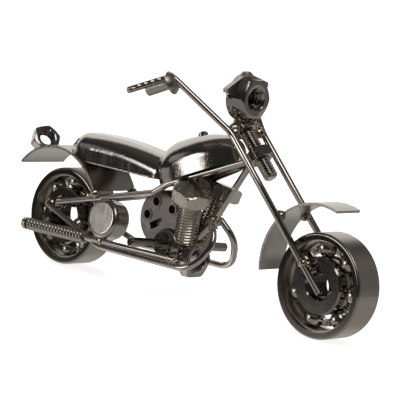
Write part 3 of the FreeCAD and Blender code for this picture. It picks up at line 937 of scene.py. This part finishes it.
@dataclass
class RibbonCages:
    """The pressed ribbon cages of one bearing, bulged over its balls and riveted between them.

    Args:
        end: "front" or "rear".
        body: the body the cages ride on.
        axle: the bearing's middle.
        inner_ring: diameter of the inner ring.
        ball: diameter of a ball.
        count: number of balls.
        start: first ball's angle from the top, in degrees.
        shoulder: radius of the outer ring's shoulder.
        band: width of the ribbon.
        sheet: thickness of the ribbon.
        clearance: gap between a ball and its cup.
        rivet: radius of a rivet's head.
        rivet_rise: height of a rivet's head, as a share of its radius.
        steps: points round the ribbon for each ball.
        rows: rows of faces across the ribbon.
    """

    end: str
    body: Body
    axle: Vector
    inner_ring: float
    ball: float
    count: int
    start: float
    shoulder: float = 14.6
    band: float = 2.5
    sheet: float = 0.35
    clearance: float = 0.1
    rivet: float = 0.6
    rivet_rise: float = 0.55
    steps: int = 18
    rows: int = 7

    def build(self) -> None:
        """Press both halves and rivet them."""
        pitch = (self.inner_ring / 2 + self.shoulder) / 2
        half = self._half(pitch)
        for side in Side:
            word = side.name.lower()
            turn = Matrix.Rotation(math.radians(-90), 4, "X")
            flip = Matrix.Diagonal((1, 1, side.value, 1))
            piece = copy_of(half, turn @ flip, f"{self.end}_{word}_ribbon_cage")
            if side.value < 0:
                recalculate(piece)
            smooth(piece, 40)
            settle(piece, Matrix.Translation(self.axle))
            hand_over(piece, self.body, PRESSED_CAGE, f"{self.end}_{word}_cage")
        bpy.data.objects.remove(half)

    def _angles(self) -> list[float]:
        """The balls' angles in the ring's own plane, in radians."""
        return [math.radians(90 - self.start + 360 * index / self.count) for index in range(self.count)]

    def _half(self, pitch: float) -> Piece:
        """Press one half cage above Z = 0: a flat ring, drawn up over each ball, with rivets.

        Args:
            pitch: radius of the balls' circle.

        Returns:
            The half cage in millimetres.
        """
        clear_selection()
        bpy.ops.mesh.primitive_circle_add(vertices=self.count * self.steps, radius=pitch - self.band / 2,
                                          fill_type="NOTHING")
        piece = take("half_cage")
        bpy.ops.object.mode_set(mode="EDIT")
        for row in range(self.rows):
            inner = pitch - self.band / 2 + self.band * row / self.rows
            outer = inner + self.band / self.rows
            bpy.ops.mesh.extrude_region_move()
            bpy.ops.transform.resize(value=(outer / inner, outer / inner, 1))
        bpy.ops.object.mode_set(mode="OBJECT")
        centres = [Vector((pitch * math.cos(a), pitch * math.sin(a), 0)) for a in self._angles()]
        cup = self.ball / 2 + self.clearance + self.sheet
        for point in piece.data.vertices:
            nearest = min((point.co - centre).length for centre in centres)
            drawn = math.sqrt(max(0.0, cup * cup - nearest * nearest))
            point.co.z = max(self.sheet, drawn)
        wall = piece.modifiers.new("wall", "SOLIDIFY")
        wall.thickness = self.sheet
        wall.offset = -1
        recalculate(piece)
        if piece.data.polygons[0].normal.z < 0:
            piece.data.flip_normals()
        apply_modifiers(piece)
        return join([piece, *self._rivets(pitch)], "half_cage")

    def _rivets(self, pitch: float) -> list[Piece]:
        """Round rivet heads on the flats between the balls.

        Args:
            pitch: radius of the balls' circle.

        Returns:
            The heads.
        """
        heads = []
        for angle in self._angles():
            between = angle + math.pi / self.count
            place = Vector((pitch * math.cos(between), pitch * math.sin(between), self.sheet))
            clear_selection()
            bpy.ops.mesh.primitive_uv_sphere_add(segments=16, ring_count=8, radius=self.rivet)
            head = take("cage_rivet")
            head.data.transform(Matrix.Translation(place) @ Matrix.Diagonal((1, 1, self.rivet_rise, 1)))
            heads.append(head)
        return heads


@dataclass
class WeldLumps:
    """Melted lumps made from a node of plain weld beads.

    Args:
        source: the CAD node with the plain beads.
        body: the body they ride on.
        drops: more drops of metal, each a place and a radius, that melt into one lump.
        swell: how far the metal stands proud of the plain beads.
        least: share of the swell that is everywhere.
        waves: slow and quick waves over the skin, each its waves to a millimetre and its share.
        grid: size of the mesh's squares.
        softness: how far a point moves to its neighbours' middle in one softening.
        softenings: how often it does.
        seed: place in the noise that shapes them.
    """

    source: str
    body: Body
    drops: list[tuple[Vector, float]] = field(default_factory=list)
    swell: float = 0.25
    least: float = 0.55
    waves: tuple[tuple[float, float], ...] = ((0.5, 1.0), (1.2, 0.22))
    grid: float = 0.16
    softness: float = 0.6
    softenings: int = 4
    seed: float = 0.0

    def build(self) -> None:
        """Copy the beads, melt each one, and join them again."""
        whole = merged_copy(self.source, self.source.replace("beads", "lumps"))
        name = whole.name
        make_active(whole)
        bpy.ops.object.mode_set(mode="EDIT")
        bpy.ops.mesh.select_all(action="SELECT")
        bpy.ops.mesh.separate(type="LOOSE")
        bpy.ops.object.mode_set(mode="OBJECT")
        lumps = list(bpy.context.selected_objects)
        if self.drops:
            lumps.append(self._melted_drops())
        for lump in lumps:
            self._melt(lump)
        piece = join(lumps, name)
        smooth(piece, 80)
        settle(piece)
        hand_over(piece, self.body, MELTED_WELD, self.source)

    def _melted_drops(self) -> Piece:
        """The extra drops as one piece, before it is melted.

        Returns:
            The joined balls.
        """
        balls = []
        for place, radius in self.drops:
            clear_selection()
            bpy.ops.mesh.primitive_ico_sphere_add(subdivisions=3, radius=radius, location=place)
            ball = take("drop")
            bpy.ops.object.transform_apply(location=True, rotation=True, scale=True)
            balls.append(ball)
        return join(balls, "drops")

    def _melt(self, lump: Piece) -> None:
        """Remesh one lump, soften it and pull its skin about.

        Args:
            lump: the lump.
        """
        grid = lump.modifiers.new("grid", "REMESH")
        grid.mode = "VOXEL"
        grid.voxel_size = self.grid
        soft = lump.modifiers.new("soft", "SMOOTH")
        soft.factor = self.softness
        soft.iterations = self.softenings
        apply_modifiers(lump)
        for point in lump.data.vertices:
            spot = point.co + Vector((self.seed, 0, 0))
            wave = sum(share * noise.noise(spot * per_mm) for per_mm, share in self.waves)
            point.co += point.normal * (self.swell * (self.least + wave))


@dataclass
class Grips:
    """The handlebar's ends, with four rows of hammered flats.

    Args:
        layout: shared places.
        riser: the handlebar's bend, from the steering nut, on the left side.
        grip: the handlebar's end, from its bend, on the left side.
        wire: diameter of the wire.
        count: flats in a row.
        first: distance of the first flat from the bend.
        spacing: distance between flats.
        flat: half length, half width and half height of the tool that hammers a flat.
        bite: how deep it goes.
        slant: how far ahead and how far up the rows lie, as a direction.
    """

    layout: Layout
    riser: Triple = (-27.0, 18.3, 22.5)
    grip: Triple = (-5.2, 15.1, -5.8)
    wire: float = 2.3
    count: int = 6
    first: float = 2.2
    spacing: float = 2.55
    flat: Triple = (1.3, 0.8, 0.5)
    bite: float = 0.17
    slant: tuple[float, float] = (0.75, 0.66)

    def build(self) -> None:
        """Hammer both grips."""
        for side in Side:
            word = side.name.lower()
            piece = merged_copy(word + "_fork_wire", word + "_fork_and_bar")
            carve(piece, self._tools(side))
            smooth(piece, 32)
            settle(piece)
            hand_over(piece, Body.STEERING, BRIGHT_WIRE, word + "_fork_wire")

    def _tools(self, side: Side) -> Piece:
        """The rows of tools that the flats are cut with.

        Args:
            side: the rider's side.

        Returns:
            The joined tools in their places, in millimetres.
        """
        across = Vector((1, side.value, 1))
        bend = self.layout.neck + Vector(self.riser) * across
        line = (Vector(self.grip) * across).normalized()
        ahead = line.cross(Vector((0, 0, 1))).normalized() * -side.value
        top = ahead.cross(line).normalized()
        if top.z < 0:
            top = -top
        lift = self.wire / 2 + self.flat[2] - self.bite
        tools = []
        for row, (fore, rise, shift) in enumerate(((1, 1, 0.0), (-1, 1, 0.5), (1, -1, 0.5), (-1, -1, 0.0))):
            out = (ahead * (fore * self.slant[0]) + top * (rise * self.slant[1])).normalized()
            turn = Matrix((line, out.cross(line), out)).transposed().to_4x4()
            for index in range(self.count - (1 if shift else 0)):
                place = bend + line * (self.first + (index + shift) * self.spacing) + out * lift
                clear_selection()
                bpy.ops.mesh.primitive_uv_sphere_add(segments=20, ring_count=12, radius=1)
                tool = take(f"tool_{row}_{index}")
                tool.data.transform(Matrix.Translation(place) @ turn @ Matrix.Diagonal((*self.flat, 1)))
                recalculate(tool)
                tools.append(tool)
        return join(tools, "tools")


@dataclass
class SeatRim:
    """The stamped lip round the seat's lower edge, and the clip wire at its rear.

    Args:
        layout: shared places.
        fender: middle of the rear fender, from the rear axle.
        fender_radius: outside radius of the rear fender.
        width: width over the lip.
        corner: radius of its corners.
        band: width of the lip.
        depth: height of the lip.
        overlap: how much longer the lip is than the seat.
        edge: bevel of its edges.
        clip: the clip wire's route.
        clip_wire: its diameter.
    """

    layout: Layout
    fender: Triple = (-1.95, 0.0, 1.6)
    fender_radius: float = 23.8
    width: float = 16.5
    corner: float = 6.8
    band: float = 0.8
    depth: float = 0.6
    overlap: float = 0.5
    edge: float = 0.16
    clip: tuple[Triple, ...] = (
        (-56.6, -5.2, 43.5), (-54.2, -5.6, 46.0), (-53.2, -6.2, 46.8), (-52.6, -6.6, 45.4),
        (-53.2, -6.4, 43.2), (-54.4, -6.0, 42.9), (-54.8, -5.8, 44.2), (-53.9, -5.9, 46.4))
    clip_wire: float = 0.55

    def build(self) -> None:
        """Make the lip and the clip."""
        self._lip()
        self._clip()

    def _lip(self) -> None:
        """A rounded band, cut to the fender's curve."""
        low, high = [Vector(corner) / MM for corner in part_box("seat_shell")]
        clear_selection()
        bpy.ops.mesh.primitive_plane_add(size=1, location=((low.x + high.x) / 2, 0, low.z - self.depth / 2))
        piece = take("seat_lip")
        piece.scale = (high.x - low.x + self.overlap, self.width, 1)
        bpy.ops.object.transform_apply(location=True, rotation=True, scale=True)
        bpy.ops.object.mode_set(mode="EDIT")
        bpy.ops.mesh.select_all(action="SELECT")
        bpy.ops.mesh.bevel(offset=self.corner, segments=14, affect="VERTICES")
        bpy.ops.mesh.inset(thickness=self.band, depth=0)
        bpy.ops.mesh.delete(type="FACE")
        bpy.ops.mesh.select_all(action="SELECT")
        bpy.ops.mesh.extrude_region_move(TRANSFORM_OT_translate={"value": (0, 0, self.depth)})
        bpy.ops.object.mode_set(mode="OBJECT")
        recalculate(piece)
        edge = piece.modifiers.new("edge", "BEVEL")
        edge.width = self.edge
        edge.segments = 2
        edge.limit_method = "ANGLE"
        apply_modifiers(piece)
        clear_selection()
        centre = self.layout.rear_axle + Vector(self.fender)
        bpy.ops.mesh.primitive_cylinder_add(vertices=160, radius=self.fender_radius, depth=60,
                                            location=centre, rotation=(math.pi / 2, 0, 0))
        drum = take("drum")
        bpy.ops.object.transform_apply(location=True, rotation=True, scale=True)
        carve(piece, drum)
        smooth(piece, 40)
        settle(piece)
        hand_over(piece, Body.FRAME, STAMPED_LIP)

    def _clip(self) -> None:
        """A thin bent wire left by the welding, at the seat's right rear."""
        curve = bpy.data.curves.new("clip_wire", "CURVE")
        curve.dimensions = "3D"
        curve.bevel_depth = self.clip_wire / 2
        curve.bevel_resolution = 3
        curve.use_fill_caps = True
        line = curve.splines.new("NURBS")
        line.points.add(len(self.clip) - 1)
        for point, place in zip(line.points, self.clip):
            point.co = (*place, 1)
        line.order_u = 3
        line.use_endpoint_u = True
        line.resolution_u = 8
        piece = bpy.data.objects.new("clip_wire", curve)
        bpy.context.scene.collection.objects.link(piece)
        make_active(piece)
        bpy.ops.object.convert(target="MESH")
        piece = take("clip_wire")
        recalculate(piece, merge=0.001)
        smooth(piece, 60)
        settle(piece)
        hand_over(piece, Body.FRAME, BRIGHT_WIRE)


@dataclass
class Nodes:
    """The CAD nodes that are shown as they are.

    Args:
        finishes: each finish, and the nodes that wear it.
        hub_bores: diameter of each bearing's bore, in millimetres.
    """

    finishes: tuple[tuple[NickelFinish, tuple[str, ...]], ...] = (
        (GROUND_RING, ("front_outer_ring", "rear_outer_ring")),
        (BEARING_BALL, ("front_balls", "rear_balls")),
        (BRIGHT_WIRE, ("right_lower_rail", "left_lower_rail", "right_upper_rail", "left_upper_rail",
                       "down_tube", "exhaust_rod")),
        (SATIN_FASTENER, ("right_mirror_rivet", "left_mirror_rivet", "headlamp_wings", "exhaust_tip")),
        (DARK_FASTENER, ("steering_nut", "tank_cap", "footpeg_bar", "right_footpeg_washer",
                         "left_footpeg_washer")),
        (BRUSHED_SHEET, ("fuel_tank", "seat_shell")),
        (FENDER_SHEET, ("front_fender", "rear_fender")),
        (BRUSHED_DRUM, ("oil_tank", "crankcase")),
        (ROUGH_CASTING, ("gearbox",)),
    )
    hub_bores: tuple[tuple[str, float], ...] = (("front", 9.0), ("rear", 14.0))

    def build(self) -> None:
        """Dress each node."""
        rings = [(self._ring(end, bore), (end + "_inner_ring",)) for end, bore in self.hub_bores]
        for finish, names in [*self.finishes, *rings]:
            for name in names:
                dress(node(name), finish)
                log.info("node %s takes %s", name, finish.name)

    @staticmethod
    def _ring(end: str, bore: float) -> BoreFinish:
        """A polished inner ring, with shade painted in its bore.

        Args:
            end: "front" or "rear".
            bore: diameter of its bore.

        Returns:
            The finish.
        """
        # painted shade: the ring's colour darkens deep in its bore
        return BoreFinish(end + "_polished_ring", "bright_nickel", (0.34, 0.31, 0.29), stained=0.05,
                          roughness=0.08, swing=0.02, marks=0.4, depth=0.001, ripple=0.01,
                          bore_middle=tuple(middle(end + "_inner_ring")), bore_axis=(0, -1, 0),
                          bore_radius=bore / 2 + 0.15, dark_from=6.0, dark_full=4.5)


# ---------------------------------------------------------------- studio
@dataclass(frozen=True)
class Glow:
    """A soft round patch of light in the surroundings.

    Args:
        azimuth: of its middle, from +X towards +Y, in degrees.
        elevation: of its middle, in degrees.
        radius: its outer radius in degrees.
        core: the radius within which it is full.
        strength: how bright it is.
    """

    azimuth: float
    elevation: float
    radius: float
    core: float
    strength: float

    def factor(self, wiring: Wiring, way: Socket) -> Socket:
        """Shape the patch on the sky.

        Args:
            wiring: the world's nodes.
            way: the looked-at direction.

        Returns:
            1 in its core and 0 past its edge.
        """
        flat = math.cos(math.radians(self.elevation))
        turn = math.radians(self.azimuth)
        aim = (math.cos(turn) * flat, math.sin(turn) * flat, math.sin(math.radians(self.elevation)))
        edge, full = [math.cos(math.radians(angle)) for angle in (self.radius, self.core)]
        return wiring.step(wiring.vector("DOT_PRODUCT", way, aim), edge, full)


@dataclass
class Studio:
    """Floor, surroundings, lamp and camera, in metres.

    Args:
        floor_size: side of the square floor.
        floor_tone: the floor's own light to the camera, over what the lamp gives it.
        sheet: the white sheet behind.
        sheet_top: where the sheet fades out above, as the height of the looked-at direction.
        horizon: where the table begins below, in the same measure.
        overhead: where the ceiling's light begins and where it is full, in the same measure.
        ground: brightness of the table that the metal mirrors.
        room: brightness of the dim room all round.
        ceiling: brightness straight above.
        glows: soft patches of light in front, overhead and on the table.
        lamp: place of the one lamp.
        lamp_size: its diameter.
        lamp_power: its power in watts.
        eye: place of the camera.
        eye_right: the way of the view's right edge.
        eye_forward: the way it looks.
        lens: its focal length, in millimetres.
    """

    floor_size: float = 6.0
    floor_tone: float = 0.80
    sheet: Glow = Glow(150, 18, 42, 31, 1.0)
    sheet_top: tuple[float, float] = (0.93, 0.80)
    horizon: tuple[float, float] = (-0.165, -0.205)
    overhead: tuple[float, float] = (0.3, 1.0)
    ground: float = 0.34
    room: float = 0.035
    ceiling: float = 0.06
    glows: tuple[Glow, ...] = (
        Glow(-121, 4, 13, 9, 3.0),
        Glow(-38, 52, 18, 12, 2.4),
        Glow(60, 14, 42, 18, 0.16),
        Glow(-140, -44, 36, 20, 0.10),
        Glow(-168, -50, 22, 12, 0.55),
        Glow(122, -36, 26, 12, 0.25),
        Glow(-146, 12, 12, 5, 0.35),
    )
    lamp: Triple = (-0.2, 0.25, 1.5)
    lamp_size: float = 1.2
    lamp_power: float = 5.0
    eye: Triple = (0.49122, -0.53768, 0.13589)
    eye_right: Triple = (0.7231, 0.6797, 0.1228)
    eye_forward: Triple = (-0.6658, 0.7332, -0.1382)
    lens: float = 191.84

    def build(self) -> None:
        """Set everything up."""
        self._floor()
        self._surroundings()
        self._lamp()
        self._camera()
        bpy.context.scene.view_settings.view_transform = "Standard"

    def _floor(self) -> None:
        """A plain pale floor that metal doesn't mirror, because the surroundings give its tone."""
        clear_selection()
        bpy.ops.mesh.primitive_plane_add(size=self.floor_size)
        floor = take("floor")
        bpy.ops.object.mode_set(mode="EDIT")
        bpy.ops.mesh.subdivide(number_cuts=3)
        bpy.ops.object.mode_set(mode="OBJECT")
        floor.visible_glossy = False
        made = bpy.data.materials.new("pale_floor")
        made.use_nodes = True
        made.node_tree.nodes.clear()
        wiring = Wiring(made.node_tree)
        seen = wiring.add("LightPath", {}, "Is Camera Ray")
        matt = wiring.add("BsdfDiffuse", {"Color": (0.9, 0.9, 0.9, 1)}, "BSDF")
        strength = wiring.math("MULTIPLY", seen, self.floor_tone)
        glow = wiring.add("Emission", {"Strength": strength}, "Emission")
        wiring.show("OutputMaterial", wiring.add("AddShader", {0: matt, 1: glow}, "Shader"))
        floor.data.materials.append(made)

    def _surroundings(self) -> None:
        """A white sheet behind, a dim room, a grey table and soft patches of light."""
        world = bpy.data.worlds.new("studio")
        bpy.context.scene.world = world
        world.use_nodes = True
        world.node_tree.nodes.clear()
        wiring = Wiring(world.node_tree)
        way = wiring.add("TexCoord", {}, "Generated")
        up = wiring.add("SeparateXYZ", {"Vector": way}, "Z")
        sheet = self.sheet.factor(wiring, way)
        for limits in (self.horizon[::-1], self.sheet_top):
            sheet = wiring.math("MULTIPLY", sheet, wiring.step(up, *limits))
        lights = [(sheet, self.sheet.strength), (wiring.step(up, *self.horizon), self.ground),
                  (wiring.step(up, *self.overhead), self.ceiling)]
        lights += [(glow.factor(wiring, way), glow.strength) for glow in self.glows]
        total = self.room
        for factor, strength in lights:
            total = wiring.math("ADD", wiring.math("MULTIPLY", factor, strength), total)
        lit = wiring.add("Background", {"Color": (1.0, 0.985, 0.965, 1), "Strength": total}, "Background")
        white = wiring.add("Background", {"Color": (1, 1, 1, 1)}, "Background")
        seen = wiring.add("LightPath", {}, "Is Camera Ray")
        wiring.show("OutputWorld", wiring.add("MixShader", {"Fac": seen, 1: lit, 2: white}, "Shader"))

    def _lamp(self) -> None:
        """One wide soft lamp overhead, for the floor's shadow."""
        lamp = bpy.data.lights.new("overhead", "AREA")
        lamp.shape = "DISK"
        lamp.size = self.lamp_size
        lamp.energy = self.lamp_power
        holder = bpy.data.objects.new("overhead", lamp)
        holder.location = self.lamp
        holder.rotation_euler = Vector(self.lamp).to_track_quat("Z", "Y").to_euler()
        holder.visible_glossy = False
        holder.visible_camera = False
        bpy.context.scene.collection.objects.link(holder)

    def _camera(self) -> None:
        """The camera: ahead and to the right, a little above, and slightly rolled."""
        eye = bpy.data.cameras.new("camera")
        eye.lens = self.lens
        eye.sensor_width = 36
        eye.clip_start = 0.01
        eye.clip_end = 20
        holder = bpy.data.objects.new("camera", eye)
        right, forward = Vector(self.eye_right).normalized(), Vector(self.eye_forward).normalized()
        top = right.cross(forward).normalized()
        turn = Matrix((right, top, -forward)).transposed().to_4x4()
        holder.matrix_world = Matrix.Translation(self.eye) @ turn
        bpy.context.scene.collection.objects.link(holder)
        bpy.context.scene.camera = holder


# ---------------------------------------------------------------- the whole
def fork_drops(layout: Layout) -> list[tuple[Vector, float]]:
    """Drops of metal that fill the fork's welds: the column under the headlamp, and both hub welds.

    Args:
        layout: shared places.

    Returns:
        Each drop's place and radius.
    """
    head = layout.on_fork(-12.6)
    hub = layout.front_axle + layout.along * -8.4 + Vector((0.8, 0, 0.8))
    column = (
        ((-0.4, 0.0, 0.4), 2.7), ((-0.2, -1.9, 0.9), 2.0), ((-0.2, 1.9, 0.9), 2.0), ((1.0, -1.3, 2.0), 2.0),
        ((1.2, 1.2, 2.0), 2.1), ((-0.4, -3.0, -0.3), 1.7), ((1.6, 2.7, 0.6), 1.7), ((1.7, 3.0, -1.2), 1.5),
        ((-0.4, 3.2, -0.6), 1.6), ((1.9, 2.2, 2.2), 1.6))
    beside = ((0.0, 7.9, 0.0, 1.55), (1.3, 7.0, -0.2, 1.35))
    drops = [(head + Vector(place), radius) for place, radius in column]
    drops += [(hub + Vector((x, y * side.value, z)), radius) for x, y, z, radius in beside for side in Side]
    return drops


def main() -> None:
    """Build every sub-assembly in order."""
    logging.basicConfig(level=logging.INFO, format="%(message)s")
    Studio().build()
    Nodes().build()
    layout = Layout.measured()
    Exhaust(layout).build()
    Threads(layout).build()
    Grips(layout).build()
    RibbonCages("front", Body.FRONT_CAGE, layout.front_axle,
                inner_ring=19.4, ball=6.35, count=7, start=-17.0).build()
    RibbonCages("rear", Body.REAR_CAGE, layout.rear_axle,
                inner_ring=20.6, ball=5.95, count=8, start=0.0).build()
    WeldLumps("fork_weld_beads", Body.STEERING, fork_drops(layout)).build()
    WeldLumps("frame_weld_beads", Body.FRAME, seed=40.0).build()
    SeatRim(layout).build()
    clear_selection()


if __name__ == "__main__":
    main()
